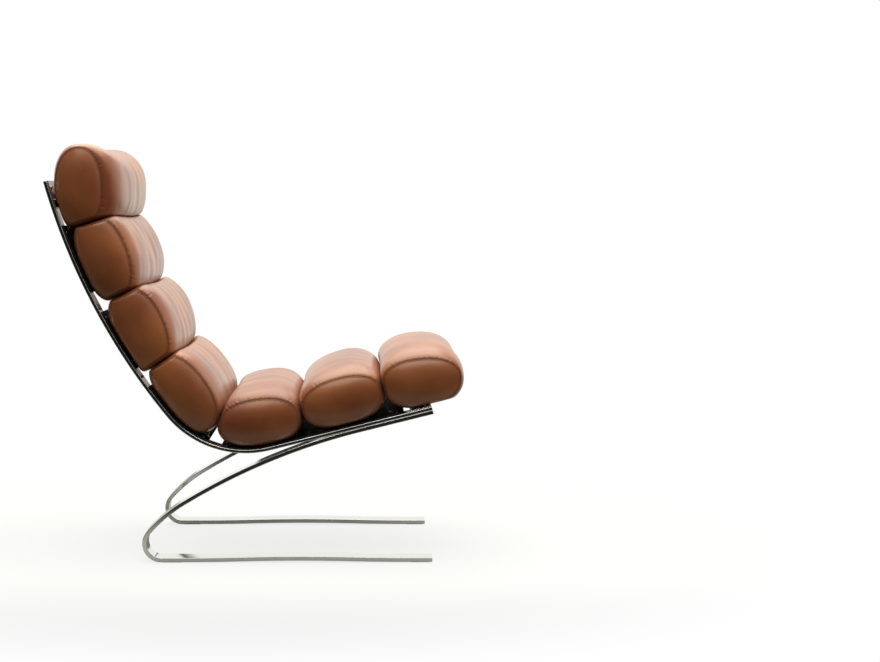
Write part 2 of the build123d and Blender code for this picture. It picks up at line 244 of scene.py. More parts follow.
def studio_floor():
    """Flat square of one face at height zero."""
    corners = np.array([(-1, -1, 0), (1, -1, 0), (1, 1, 0), (-1, 1, 0)]) * FLOOR_HALF
    mesh = bpy.data.meshes.new("studio_floor")
    mesh.from_pydata(corners.tolist(), [], [(0, 1, 2, 3)])
    floor = bpy.data.objects.new("studio_floor", mesh)
    scene.collection.objects.link(floor)
    material, wire, place = new_finish("pale_floor")
    seen_directly = wire.node("LightPath", {}, {}, out=0)
    mottle = wire.node("TexNoise", {}, {"Scale": 3.0, "Detail": 3.0})
    mirrored_ray = wire.node("LightPath", {}, {}, out=3)
    bright = mottle.between(grey(FLOOR_MIRRORED[0]), grey(FLOOR_MIRRORED[1]))
    sheet = mirrored_ray.between(grey(FLOOR_DIFFUSE), bright)
    depth = wire.node("SeparateXYZ", {}, {0: place}, out=1)
    # Painted shade: toward the camera the floor is painted dark, as bounced light and mirrors see it
    shaded_near_camera = depth.ease(*FLOOR_DARK_Y).between(grey(FLOOR_DARK), sheet)
    paper = wire.node("BsdfDiffuse", {}, {0: shaded_near_camera})
    glow = wire.node("Emission", {}, {0: WHITE, 1: FLOOR_GLOW})
    lifted = wire.node("AddShader", {}, {0: paper, 1: glow})
    white = wire.node("Emission", {}, {0: WHITE, 1: 1.0})
    reach = wire.node("VectorMath", {"operation": "LENGTH"}, {0: place}, out=1)
    faded = wire.node("MixShader", {}, {0: reach.ease(*FLOOR_WHITE_REACH), 1: lifted, 2: white})
    shown = wire.node("MixShader", {}, {0: seen_directly, 1: paper, 2: faded})
    wire.node("OutputMaterial", {}, {"Surface": shown})
    mesh.materials.append(material)


def wide_lamp(name, place, aim, size, power):
    """Square lamp at a place, turned to face the aim."""
    data = bpy.data.lights.new(name, "AREA")
    data.shape = "SQUARE"
    data.size = size
    data.energy = power
    data.color = LAMP_COLOUR
    lamp = bpy.data.objects.new(name, data)
    aimed = (Vector(aim) - Vector(place)).to_track_quat("-Z", "Y")
    lamp.matrix_world = Matrix.Translation(place) @ aimed.to_matrix().to_4x4()
    scene.collection.objects.link(lamp)


studio_floor()
for name, settings in LAMPS.items():
    wide_lamp(name, *settings)
print("floor and", len(LAMPS), "lamps")

# %% [markdown]
# ## Chrome
# The bars are polished steel with a chromium layer. The colour is a cold light grey, the mirror is nearly
# sharp, and what a close look shows is a faint lengthwise polish and a trace of handling on the flat faces.

# %% Chrome
def chrome_finish():
    material, wire, place = new_finish("chromed_steel")
    drawn = wire.node("Mapping", {}, {"Vector": place, "Scale": (6, 90, 6)})
    polish = noise(wire, drawn, 30.0, 3.0)
    handled = noise(wire, place, 9.0, 4.0)
    smear = handled.ease(0.48, 0.72)
    colour = (polish * 0.5 + handled * 0.5).between((0.70, 0.71, 0.73, 1), (0.80, 0.81, 0.82, 1))
    rough = 0.045 + polish * 0.03 + smear * 0.04
    normal = bump(wire, 0.02, 0.0004, polish)
    close_finish(wire, {"Base Color": colour, "Metallic": 1.0, "Roughness": rough}, normal)
    return material


def fastener_finish():
    """Bright zinc plated steel, a little greyer and rougher than the bars."""
    material, wire, place = new_finish("bright_plated_steel")
    grain = noise(wire, place, 260.0, 3.0)
    colour = grain.between((0.58, 0.59, 0.61, 1), (0.74, 0.75, 0.76, 1))
    close_finish(wire, {"Base Color": colour, "Metallic": 1.0, "Roughness": 0.16 + grain * 0.12})
    return material


chrome = chrome_finish()
plated = fastener_finish()
print("metal finishes")

# %% [markdown]
# ## Bent flat bars
# A flat bar is one rounded rectangle carried along a bent line. The side view of each line is a walk of
# straights and bends with the same sizes as the CAD model. A bar could also be a curve with a bevel object,
# but a computed surface gives exact tangents, and so clean reflections, through every bend.

# %% Lines of the bars
GLIDE_THICKNESS = 1.5
RUNNER_LENGTH = 651.0
RUNNER_RISE = 3.5
FOOT_LENGTH = 56.0
REAR_BEND_RADIUS = 44.9
LOW_SWEEP = (358.0, 17.6)
HIGH_SWEEP = (1512.0, 17.5)
CLAMP_LENGTH = 182.0
SEAT_RISE_ANGLE = 14.1
SEAT_STRAIGHT = 401.6
HIP_BEND = (242.6, 65.0)
BACK_BEND = (1537.0, 23.5)
SUPPORT_MARGIN = 250.0
STATION_TURN = math.radians(1.2)
STATION_STEP = 24


def straight(length):
    return (length, 0.0)


def bend(radius, turn):
    """Length of an arc and its turn in radians, positive to the left."""
    return (radius * math.radians(abs(turn)), math.radians(turn))


class BarLine:
    """Side view of one face of a bent bar in millimetres: runs of (length, turn) from a start and heading."""

    def __init__(self, start, heading, runs):
        self.start = start
        self.heading = heading
        self.runs = runs
        self.length = sum(length for length, turn in runs)

    def at(self, distance, offset=0.0):
        """Points at distances along the line, moved to its right by the offset, and the headings there.

        A straight adds step * (cos h, sin h). An arc of radius R adds R * (sin h' - sin h, cos h - cos h').
        """
        left = np.array(distance, float)
        x = np.full(left.shape, self.start[0])
        z = np.full(left.shape, self.start[1])
        heading = np.full(left.shape, self.heading)
        for index, (length, turn) in enumerate(self.runs):
            step = left if index == len(self.runs) - 1 else np.minimum(left, length)
            if turn == 0.0:
                x = x + step * np.cos(heading)
                z = z + step * np.sin(heading)
            else:
                radius = length / turn
                turned = heading + step / radius
                x = x + radius * (np.sin(turned) - np.sin(heading))
                z = z + radius * (np.cos(heading) - np.cos(turned))
                heading = turned
            left = left - step
        return x + offset * np.sin(heading), z - offset * np.cos(heading), heading

    def stations(self, first, last):
        """Distances from first to last, close together in bends and wider apart on straights."""
        marks = []
        begin = 0.0
        for length, turn in self.runs:
            low, high = max(first, begin), min(last, begin + length)
            if high > low:
                count = max(2, math.ceil(abs(turn) * (high - low) / length / STATION_TURN),
                            math.ceil((high - low) / STATION_STEP))
                marks.append(np.linspace(low, high, count, endpoint=False))
            begin += length
        return np.concatenate(marks + [[last]])


rear_heading = math.radians(SEAT_RISE_ANGLE + HIGH_SWEEP[1] + LOW_SWEEP[1])
bow_length = RUNNER_LENGTH - 2 * FOOT_LENGTH
bow_turn = math.degrees(4 * RUNNER_RISE / bow_length)
bow_radius = bow_length / 4 / math.radians(bow_turn)
front_end_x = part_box("right_base_bar")[1][0] / MM
base_line = BarLine((front_end_x, GLIDE_THICKNESS), math.pi, [
    straight(FOOT_LENGTH),
    bend(bow_radius, -bow_turn),
    bend(bow_radius, 2 * bow_turn),
    bend(bow_radius, -bow_turn),
    straight(FOOT_LENGTH),
    bend(REAR_BEND_RADIUS, math.degrees(rear_heading) - 180),
    bend(LOW_SWEEP[0], -LOW_SWEEP[1]),
    bend(HIGH_SWEEP[0], -HIGH_SWEEP[1]),
    straight(CLAMP_LENGTH),
])
seat_x, seat_z, _ = base_line.at(base_line.length)
seat_runs = [straight(SEAT_STRAIGHT), bend(HIP_BEND[0], -HIP_BEND[1]), bend(BACK_BEND[0], -BACK_BEND[1])]
strip_line = BarLine((float(seat_x), float(seat_z)), math.radians(180 + SEAT_RISE_ANGLE),
                     seat_runs + [straight(SUPPORT_MARGIN)])
STRIP_LENGTH = strip_line.length - SUPPORT_MARGIN
print("base bar", round(base_line.length, 1), "mm, strip", round(STRIP_LENGTH, 1), "mm")

# %% Meshes from arrays
def signed_volume(points, faces):
    """Volume inside the faces, negative if they face inwards: the sum of a . (b x c) / 6 over triangles."""
    total = 0.0
    for corner in range(1, faces.shape[1] - 1):
        a, b, c = points[faces[:, 0]], points[faces[:, corner]], points[faces[:, corner + 1]]
        total += np.einsum("ij,ij->", a, np.cross(b, c)) / 6
    return total


def piece_from(name, points, face_sets, material, nodes=()):
    """Piece from points in millimetres and arrays of faces, turned to face outwards, riding on the chair."""
    points = np.asarray(points, float).reshape(-1, 3)
    centred = points - points.mean(axis=0)
    if sum(signed_volume(centred, faces) for faces in face_sets) < 0:
        face_sets = [faces[:, ::-1] for faces in face_sets]
    corners = np.concatenate([faces.ravel() for faces in face_sets]).astype(np.int32)
    sizes = np.concatenate([np.full(len(faces), faces.shape[1]) for faces in face_sets])
    starts = (np.cumsum(sizes) - sizes).astype(np.int32)
    mesh = bpy.data.meshes.new(name)
    mesh.vertices.add(len(points))
    mesh.vertices.foreach_set("co", (points * MM).astype(np.float32).ravel())
    mesh.loops.add(len(corners))
    mesh.loops.foreach_set("vertex_index", corners)
    mesh.polygons.add(len(sizes))
    mesh.polygons.foreach_set("loop_start", starts)
    mesh.polygons.foreach_set("use_smooth", np.full(len(sizes), True))
    mesh.update(calc_edges=True)
    mesh.validate()
    mesh.materials.append(material)
    piece = bpy.data.objects.new(name, mesh)
    scene.collection.objects.link(piece)
    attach(piece, "root")
    if nodes:
        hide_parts(*nodes)
    return piece


def tube_faces(rows, columns):
    """Quads of a grid that closes on itself across its columns, and one face over each end."""
    row, column = np.meshgrid(np.arange(rows - 1), np.arange(columns), indexing="ij")
    here = row * columns + column
    beside = row * columns + (column + 1) % columns
    quads = np.stack([here, beside, beside + columns, here + columns], axis=-1).reshape(-1, 4)
    first = np.arange(columns)[::-1][None, :]
    last = (np.arange(columns) + (rows - 1) * columns)[None, :]
    return [quads, first, last]


def repeat_faces(face_sets, count, size):
    """The same faces for count copies of a shape of size points."""
    shifts = np.arange(count)[:, None, None] * size
    return [(faces[None] + shifts).reshape(-1, faces.shape[1]) for faces in face_sets]


print("mesh helpers ready")

# %% A flat bar
def rounded_section(half_width, half_thickness, radius, inset, steps=6, rest=0.5):
    """Rounded rectangles, one for each inset: corner centre + (radius - inset) * (cos a, sin a).

    A point a little way along the flat beside each corner keeps the flat faces flat when they are shaded.
    """
    corner_x = np.array([1, -1, -1, 1]) * (half_width - radius)
    corner_z = np.array([1, 1, -1, -1]) * (half_thickness - radius)
    start = np.arange(4) * math.pi / 2
    angle = start[:, None] + np.linspace(0, math.pi / 2, steps)[None, :]
    shrunk = (radius - np.asarray(inset))[:, None, None]
    across = corner_x[:, None] + shrunk * np.cos(angle)
    high = corner_z[:, None] + shrunk * np.sin(angle)
    before = (across[..., :1] + rest * np.sin(start)[:, None], high[..., :1] - rest * np.cos(start)[:, None])
    after = (across[..., -1:] - rest * np.cos(start)[:, None], high[..., -1:] - rest * np.sin(start)[:, None])
    across = np.concatenate([before[0], across, after[0]], axis=-1)
    high = np.concatenate([before[1], high, after[1]], axis=-1)
    return across.reshape(len(shrunk), -1), high.reshape(len(shrunk), -1)


def bar_surface(line, first, last, y_low, y_high, low, high, radius, steps=6):
    """Points and faces of a flat bar: a rounded rectangle carried along the line, with rounded ends."""
    arc = np.linspace(0.06, math.pi / 2, steps)
    rounding = radius * (1 - np.cos(arc))
    inset_end = radius * (1 - np.sin(arc))
    middle = line.stations(first + radius, last - radius)
    distance = np.concatenate([first + rounding[:-1], middle, last - rounding[:-1][::-1]])
    inset = np.concatenate([inset_end[:-1], np.zeros(len(middle)), inset_end[:-1][::-1]])
    rest = min(0.5, (high - low) / 2 - radius)
    across, height = rounded_section((y_high - y_low) / 2, (high - low) / 2, radius, inset, steps, rest * 0.6)
    x, z, heading = line.at(distance)
    offset = height + (low + high) / 2
    points = np.stack([x[:, None] + offset * np.sin(heading)[:, None],
                       across + (y_low + y_high) / 2,
                       z[:, None] - offset * np.cos(heading)[:, None]], axis=-1)
    return points.reshape(-1, 3), tube_faces(*points.shape[:2])


FRAME_HALF_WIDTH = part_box("left_seat_strip")[1][1] / MM
BAR_WIDTH = 60.0
STRIP_THICKNESS = 8.0
BASE_THICKNESS = 10.0
BAR_EDGE_RADIUS = 1.5
SIDES = {"right": -1, "left": 1}
BAR_CENTRE_Y = FRAME_HALF_WIDTH - BAR_WIDTH / 2
INNER_HALF_WIDTH = FRAME_HALF_WIDTH - BAR_WIDTH

for side, sign in SIDES.items():
    y_low, y_high = sorted((sign * INNER_HALF_WIDTH, sign * FRAME_HALF_WIDTH))
    for line, length, thickness, piece, node in (
            (base_line, base_line.length, BASE_THICKNESS, "_base_bar_chrome", "_base_bar"),
            (strip_line, STRIP_LENGTH, STRIP_THICKNESS, "_strip_chrome", "_seat_strip")):
        points, faces = bar_surface(line, 0, length, y_low, y_high, 0, thickness, BAR_EDGE_RADIUS)
        bar = piece_from(side + piece, points, faces, chrome, [side + node])
        print(bar.name, len(bar.data.polygons), "faces")

# %% [markdown]
# ## Cross pieces
# A chromed flat bar joins the strips at the front of the seat and another at the top of the back. Between
# them, wide black bands of saddle leather carry the rolls. They are thin versions of the same carried
# rectangle, and each band has a sewn hem along its two free edges.

# %% Black band finish
def band_finish():
    """Black saddle leather: fine pebbles from cell distances, pores from noise, and dull scuffed patches."""
    material, wire, place = new_finish("black_saddle_leather")
    cells = wire.node("TexVoronoi", {"feature": "SMOOTH_F1"},
                      {"Vector": place, "Scale": 620.0, "Smoothness": 0.5})
    pores = noise(wire, place, 1500.0, 2.0)
    # Scuffed patches, a little lighter and rougher
    lightened = noise(wire, place, 14.0, 5.0).ease(0.42, 0.70)
    colour = lightened.between((0.005, 0.005, 0.0055, 1), (0.012, 0.0115, 0.011, 1))
    relief = cells * 0.7 + pores * 0.3
    normal = bump(wire, 0.35, 0.0006, relief)
    rough = 0.58 + lightened * 0.14 - cells * 0.05
    close_finish(wire, {"Base Color": colour, "Roughness": rough, "Specular IOR Level": 0.22}, normal)
    return material


band_leather = band_finish()
print("band finish")

# %% Crossbars and bands
CARRIER_THICKNESS = 3.0
CARRIER_TOP = STRIP_THICKNESS + CARRIER_THICKNESS
CARRIER_HALF_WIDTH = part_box("seat_sling")[1][1] / MM
CARRIER_EDGE_RADIUS = 1.1
CROSSBARS = {"front_crossbar": (1.0, 54.0), "top_crossbar": (STRIP_LENGTH - 68.0, STRIP_LENGTH)}
BANDS = {
    "seat_sling": (68.0, STRIP_LENGTH - 784.0),
    "lower_back_band": (STRIP_LENGTH - 751.0, STRIP_LENGTH - 550.0),
    "middle_back_band": (STRIP_LENGTH - 498.0, STRIP_LENGTH - 338.0),
    "upper_back_band": (STRIP_LENGTH - 286.0, STRIP_LENGTH - 113.0),
}

for name, span in {**CROSSBARS, **BANDS}.items():
    points, faces = bar_surface(strip_line, *span, -CARRIER_HALF_WIDTH, CARRIER_HALF_WIDTH,
                                STRIP_THICKNESS, CARRIER_TOP, CARRIER_EDGE_RADIUS, steps=4)
    if name in BANDS:
        piece_from(name + "_leather", points, faces, band_leather, [name])
    else:
        piece_from(name + "_chrome", points, faces, chrome, [name])
print(len(CROSSBARS), "crossbars,", len(BANDS), "bands")

# %% [markdown]
# ## Stitches
# A stitch is a short thread that dips into the leather at both ends. Each one is a bent spindle with few
# faces, and one array operation sets a whole row of them on a surface, along given directions.

# %% Stitches
def thread_finish(name, dark, light):
    """Twisted thread: fine slanting stripes from a wave, in two close colours."""
    material, wire, place = new_finish(name)
    twist = wire.node("TexWave", {"bands_direction": "DIAGONAL"},
                      {"Vector": place, "Scale": 420.0, "Distortion": 1.0})
    close_finish(wire, {"Base Color": twist.between(dark, light), "Roughness": 0.62 + twist * 0.1})
    return material


def stitch_shape(length, radius, rings=5, around=6):
    """Spindle along X that rises in its middle: radius * sin(pi t)^0.5 round a line lifted by sin(pi t)."""
    t = np.linspace(0.03, 0.97, rings)[:, None]
    angle = np.linspace(0, 2 * math.pi, around, endpoint=False)[None, :]
    swell = radius * np.sin(math.pi * t) ** 0.5
    lift = radius * (1.5 * np.sin(math.pi * t) - 0.9)
    x = (t - 0.5) * length + 0 * angle
    points = np.stack([x, swell * np.cos(angle), lift + swell * np.sin(angle)], axis=-1)
    return points.reshape(-1, 3), tube_faces(rings, around)


def set_out(shape, places, along, normal):
    """Copies of a shape: its X follows along, its Z follows normal, and its origin goes to each place."""
    points, faces = shape
    along = along / np.linalg.norm(along, axis=-1, keepdims=True)
    across = np.cross(normal, along)
    across = across / np.linalg.norm(across, axis=-1, keepdims=True)
    lifted = np.cross(along, across)
    axes = np.stack([along, across, lifted], axis=1)
    copies = np.einsum("pk,nkd->npd", points, axes) + places[:, None, :]
    return copies.reshape(-1, 3), repeat_faces(faces, len(places), len(points))


black_thread = thread_finish("black_thread", (0.012, 0.012, 0.013, 1), (0.035, 0.034, 0.033, 1))
HEM_INSET = 7.0
HEM_PITCH = 7.0
HEM_CLEARANCE = 4.0
HEM_STITCH = (4.6, 0.45)
hem_places, hem_normals = [], []
hem_y = np.arange(-CARRIER_HALF_WIDTH + HEM_INSET, CARRIER_HALF_WIDTH - HEM_INSET, HEM_PITCH)
for first, last in BANDS.values():
    for distance in (first + HEM_INSET, last - HEM_INSET):
        for offset, face in ((CARRIER_TOP, 1), (STRIP_THICKNESS, -1)):
            x, z, heading = strip_line.at(distance, offset)
            half = CARRIER_HALF_WIDTH if face == 1 else INNER_HALF_WIDTH - HEM_CLEARANCE
            row = hem_y[np.abs(hem_y) < half]
            hem_places.append(np.stack([row * 0 + x, row, row * 0 + z], axis=-1))
            normal = (face * math.sin(heading), 0, -face * math.cos(heading))
            hem_normals.append(np.tile(normal, (len(row), 1)))
hem_places, hem_normals = np.concatenate(hem_places), np.concatenate(hem_normals)
hem_along = np.tile([0.0, 1.0, 0.0], (len(hem_places), 1))
points, faces = set_out(stitch_shape(*HEM_STITCH), hem_places, hem_along, hem_normals)
piece_from("band_hem_thread", points, faces, black_thread)
print(len(hem_places), "hem stitches")

# %% [markdown]
# ## Fasteners
# Domed socket screws hold the bands to the strips and the rolls to the bands, countersunk bolts clamp the
# base bars, and small bent clips stand between the rolls. Turned parts are a profile spun about an axis, and
# the six-sided socket is the same spin with a radius that follows the hexagon.

# %% Screws and bolts
def socket_head(rise, rim, head_radius, socket_radius, socket_depth, shank_radius, shank_length, around=36):
    """Spun profile of a socket head about Z, seat at zero: dome height rise * (1 - (r / R)^2.4) + rim."""
    angle = np.linspace(0, 2 * math.pi, around, endpoint=False)
    hexagon = socket_radius * math.cos(math.pi / 6) / np.cos(angle % (math.pi / 3) - math.pi / 6)

    def dome(radius):
        return rim + rise * (1 - np.clip(radius / head_radius, 0, 1) ** 2.4)

    bottom = dome(0.0) - socket_depth
    rows = [(0.02 * hexagon, bottom), (hexagon, bottom), (hexagon, dome(hexagon)),
            (hexagon * 1.06, dome(hexagon * 1.06))]
    for share in (0.62, 0.74, 0.84, 0.92, 0.97, 1.0):
        rows.append((np.full(around, share * head_radius), dome(np.full(around, share * head_radius))))
    rows.append((np.full(around, head_radius), np.zeros(around)))
    rows.append((np.full(around, shank_radius), np.zeros(around)))
    rows.append((np.full(around, shank_radius), np.full(around, -shank_length)))
    radius = np.stack([np.broadcast_to(row[0], angle.shape) for row in rows])
    height = np.stack([np.broadcast_to(row[1], angle.shape) for row in rows])
    points = np.stack([radius * np.cos(angle), radius * np.sin(angle), height], axis=-1)
    return points.reshape(-1, 3), tube_faces(len(rows), around)


def on_strip(distances, offset, ys, face=1):
    """Places, directions along the strip and normals at every pair of a distance and a Y."""
    distance, y = [grid.ravel() for grid in np.meshgrid(distances, ys, indexing="ij")]
    x, z, heading = strip_line.at(distance, offset)
    along = np.stack([np.cos(heading), 0 * heading, np.sin(heading)], axis=-1)
    normal = face * np.stack([np.sin(heading), 0 * heading, -np.cos(heading)], axis=-1)
    return np.stack([x, y, z], axis=-1), along, normal


SCREW_END_INSET = 18.0
SEAT_GAP = 0.1
SLAT_SCREW_Y = 100.0
BOLT_PLACES = (61.0, 150.0)
SLAT_PLACES = [18.0, 204.0, 416.0] + [STRIP_LENGTH - below for below in (619.0, 417.0, 220.0, 32.0)]
screw = socket_head(rise=1.6, rim=0.8, head_radius=5.0, socket_radius=1.9, socket_depth=1.6,
                    shank_radius=2.0, shank_length=4.0)
ends = [edge + inset for span in {**CROSSBARS, **BANDS}.values()
        for edge, inset in zip(span, (SCREW_END_INSET, -SCREW_END_INSET))]
points, faces = set_out(screw, *on_strip(ends, CARRIER_TOP + SEAT_GAP, (-BAR_CENTRE_Y, BAR_CENTRE_Y)))
piece_from("band_screw_heads", points, faces, plated, ["band_screws"])
slat_spots = on_strip(SLAT_PLACES, STRIP_THICKNESS - SEAT_GAP, (-SLAT_SCREW_Y, SLAT_SCREW_Y), face=-1)
points, faces = set_out(screw, *slat_spots)
piece_from("slat_screw_heads", points, faces, plated, ["slat_screws"])
bolt = socket_head(rise=0.25, rim=0.15, head_radius=7.8, socket_radius=3.0, socket_depth=2.4,
                   shank_radius=4.0, shank_length=9.0)
points, faces = set_out(bolt, *on_strip(BOLT_PLACES, -BASE_THICKNESS, (-BAR_CENTRE_Y, BAR_CENTRE_Y), face=-1))
piece_from("frame_bolt_heads", points, faces, plated, ["frame_bolts"])
print(len(ends) * 2, "band screws,", len(SLAT_PLACES) * 2, "slat screws,", len(BOLT_PLACES) * 2, "bolts")

# %% Clips between the rolls
CLIP_PLACES = (104.0, STRIP_LENGTH - 744.0, STRIP_LENGTH - 122.0)
CLIP_Y = INNER_HALF_WIDTH - 12.0
CLIP_BEND_RADIUS = 2.2
CLIP_START = (-6.0, 1.7)
CLIP_FOOT = 4.4
CLIP_RISE = 8.6
CLIP_HALF_WIDTH = 7.0
CLIP_THICKNESS = 1.6
CLIP_EDGE_RADIUS = 0.5
clip_line = BarLine(CLIP_START, 0.0, [straight(CLIP_FOOT), bend(CLIP_BEND_RADIUS, 90), straight(CLIP_RISE)])
clip_shape = bar_surface(clip_line, 0, clip_line.length, -CLIP_HALF_WIDTH, CLIP_HALF_WIDTH,
                         0, CLIP_THICKNESS, CLIP_EDGE_RADIUS, steps=4)
points, faces = set_out(clip_shape, *on_strip(CLIP_PLACES, CARRIER_TOP + SEAT_GAP, (-CLIP_Y, CLIP_Y)))
piece_from("roll_clip_sheets", points, faces, plated, ["roll_clips"])
print(len(CLIP_PLACES) * 2, "clips")

# %% [markdown]
# ## Leather
# Full-grain aniline leather with a warm tan dye. It has a fine pebbled grain, a colour that drifts slowly
# from place to place, and a soft waxy sheen. Its folds get a painted shade, darker in their valleys, and a
# painted sheen, paler on their crests.
# The fold depth and the seam come from attributes that the roll surfaces carry.

# %% Leather finish
LEATHER_DEEP = tint(133, 67, 44)
LEATHER_TAN = tint(180, 107, 63)
# Pale colour of the painted sheen on the fold crests
LEATHER_CREST_SHEEN = tint(194, 132, 88)
LEATHER_SEAM = tint(84, 42, 22)
# Dark colour of the painted shade in the fold valleys
LEATHER_VALLEY_SHADE = tint(92, 48, 30)


def leather_finish():
    material, wire, place = new_finish("tan_leather")
    crest = wire.node("Attribute", {"attribute_name": "crest"}, {}, out=2)
    seam = wire.node("Attribute", {"attribute_name": "seam"}, {}, out=2)
    drift = noise(wire, place, 7.0, 4.0)
    pebbles = wire.node("TexVoronoi", {"feature": "SMOOTH_F1"},
                        {"Vector": place, "Scale": 480.0, "Smoothness": 0.6})
    hairs = noise(wire, place, 900.0, 3.0)
    creases = wire.node("TexVoronoi", {"feature": "DISTANCE_TO_EDGE"}, {"Vector": place, "Scale": 95.0})
    fine_line = 1 - creases.ease(0.0, 0.06)
    body = drift.ease(0.15, 0.85).between(LEATHER_DEEP, LEATHER_TAN)
    # Painted sheen: the fold crests are painted paler, toward the pale sheen colour
    crest_sheen = crest.ease(0.52, 0.95) * (0.30 + 0.2 * drift)
    lightened = crest_sheen.between(body, LEATHER_CREST_SHEEN)
    # Painted shade: the fold valleys are painted darker, toward the valley shade colour
    valley_shade = (1 - crest.ease(0.0, 0.34)) * 0.24
    fold_shaded = valley_shade.between(lightened, LEATHER_VALLEY_SHADE)
    seamed_colour = (seam * 0.85).between(fold_shaded, LEATHER_SEAM)
    rough = 0.30 + 0.08 * drift - 0.05 * pebbles + 0.04 * valley_shade + 0.25 * seam
    relief = pebbles * 0.55 + hairs * 0.2 - fine_line * 0.35
    normal = bump(wire, 0.30, 0.0006, relief)
    close_finish(wire, {
        "Base Color": seamed_colour, "Roughness": rough, "Specular IOR Level": 0.55,
        "Specular Tint": (1.0, 0.97, 0.88, 1.0), "Coat Weight": 0.32, "Coat Roughness": 0.24,
        "Sheen Weight": 0.06, "Sheen Roughness": 0.40, "Sheen Tint": (1.0, 0.93, 0.82, 1.0),
    }, normal)
    return material


leather = leather_finish()
tan_thread = thread_finish("tan_thread", tint(112, 62, 36), tint(148, 88, 54))
print("leather finish")

# %% [markdown]
# ## Leather rolls
# Each roll is a leather tube sewn to a domed oval panel at both ends, stuffed, and pressed onto its band and
# against its neighbours. Its surface is a grid: one direction goes round the oval, the other from the middle
# of one end panel, over the seam and the rounded shoulder, along the wrap to the other panel. Sculpting by
# hand would also do it, but a formula keeps the seven rolls alike and lets each keep its own sizes.

# %% Form of a roll
# For each roll, in millimetres: its place along the strip, the height of its end panels' axis above the band,
# half their span, their tilt in degrees, the panels' depth in front of and behind the axis, how far the belly
# reaches from the band, the belly's shift along the strip, how far its upper side draws in, how squarely the
# belly swells behind its seams, and the spare length of its leather as a share
Roll = namedtuple("Roll", "place height span tilt front back reach shift waist fullness spare")
ROLLS = {
    "front_seat": Roll(8.5, 66.7, 94.5, 8.2, 48.5, 67.0, 152.0, 8.0, 0.0, 3.2, 0.012),
    "middle_seat": Roll(205.5, 66.2, 98.0, -1.3, 50.0, 61.0, 148.0, -8.0, 0.0, 3.2, 0.012),
    "rear_seat": Roll(414.5, 63.9, 96.0, 2.9, 50.5, 61.0, 150.0, -12.0, 0.0, 3.2, 0.012),
    "lower_back": Roll(693.5, 57.0, 103.0, 2.3, 54.0, 57.0, 134.0, -2.0, 0.0, 4.5, 0.016),
    "middle_back": Roll(887.0, 57.1, 101.0, 9.2, 57.5, 62.0, 140.0, -5.0, 0.0, 6.5, 0.030),
    "upper_back": Roll(1086.5, 60.4, 103.0, 4.2, 56.0, 56.0, 145.0, -8.0, 0.0, 6.5, 0.032),
    "head": Roll(1269.0, 68.7, 95.0, 15.2, 49.0, 60.0, 170.5, -8.0, 12.0, 6.5, 0.036),
}
ROLL_HALF_LENGTH = 309.0
DOME = 20.0
SEAM_Y = ROLL_HALF_LENGTH - DOME
SHOULDER_LENGTH = 36.0
SHOULDER_SPAN = 8.5
SHOULDER_BACK = 6.0
SEAM_SQUARENESS = 0.91
BELLY_SQUARENESS = 0.83
AROUND = 256
RIM_DEPTH = 75
RIM_STEPS = (14, 11, 8.5, 6.5, 5.2, 4.0, 3.0, 2.2, 1.5, 0.8, 0.0)


def roll_rows():
    """Rows from the middle of the right panel to the middle of the left one: Y, and share of the oval.

    On the panel, Y = seam + dome * (1 - share^2.4). On the shoulder, Y = seam - length * (1 - cos a).
    """
    rim = 1 - np.array(RIM_STEPS) / RIM_DEPTH
    share = np.concatenate([np.linspace(0.02, rim[0], 22, endpoint=False), rim])
    panel = SEAM_Y + DOME * (1 - share ** 2.4)
    shoulder = SEAM_Y - SHOULDER_LENGTH * (1 - np.cos(np.linspace(0, math.pi / 2, 30)[1:]))
    wrap = np.linspace(SEAM_Y - SHOULDER_LENGTH, 0, 68)[1:]
    half_y = np.concatenate([panel, shoulder, wrap])
    half_share = np.concatenate([share, np.ones(len(shoulder) + len(wrap))])
    y = np.concatenate([-half_y, half_y[:-1][::-1]])
    return y[:, None], np.concatenate([half_share, half_share[:-1][::-1]])[:, None]


def shoulder_rounding(y):
    """0 at the seam and beyond it, 1 along the wrap, with a quarter circle between them."""
    inward = np.clip((SEAM_Y - np.abs(y)) / SHOULDER_LENGTH, 0, 1)
    return np.sqrt(1 - (1 - inward) ** 2)


def roll_body(name, y, share, angle):
    """Stuffed body of one roll: egg-shaped sections that grow from the seam over the shoulder to the belly.

    With s = |Y| / seam, the front depth rises by (1 - s^fullness)^0.52 of the way to the belly's reach.
    """
    roll = ROLLS[name]
    crown = (1 - np.clip(np.abs(y) / SEAM_Y, 0, 1) ** roll.fullness) ** 0.52
    waist = 1 - np.clip(np.abs(y) / (SEAM_Y - SHOULDER_LENGTH), 0, 1) ** 2.3
    rounding = shoulder_rounding(y)
    square = SEAM_SQUARENESS + (BELLY_SQUARENESS - SEAM_SQUARENESS) * rounding
    cosine = np.sign(np.cos(angle)) * np.abs(np.cos(angle)) ** square
    sine = np.sign(np.sin(angle)) * np.abs(np.sin(angle)) ** square
    front = roll.front + (roll.reach - roll.height - roll.front) * crown
    back = roll.back + SHOULDER_BACK * rounding
    middle = (roll.front - roll.back) / 2
    drawn_in = roll.waist * waist * np.clip(cosine, 0, 1)
    across = (roll.span + SHOULDER_SPAN * rounding - drawn_in) * cosine * share
    raised = middle + (np.where(sine > 0, front, back) * sine - middle) * share
    across = across + roll.shift * waist * np.clip(sine, 0, 1)
    lean = math.radians(roll.tilt)
    along = across * math.cos(lean) - raised * math.sin(lean)
    high = across * math.sin(lean) + raised * math.cos(lean) + roll.height
    x, z, heading = strip_line.at(roll.place, CARRIER_TOP)
    return np.stack([x + along * math.cos(heading) + high * math.sin(heading),
                     y + 0 * angle,
                     z + along * math.sin(heading) - high * math.cos(heading)], axis=-1)


print(len(roll_rows()[0]), "rows of", AROUND, "points")

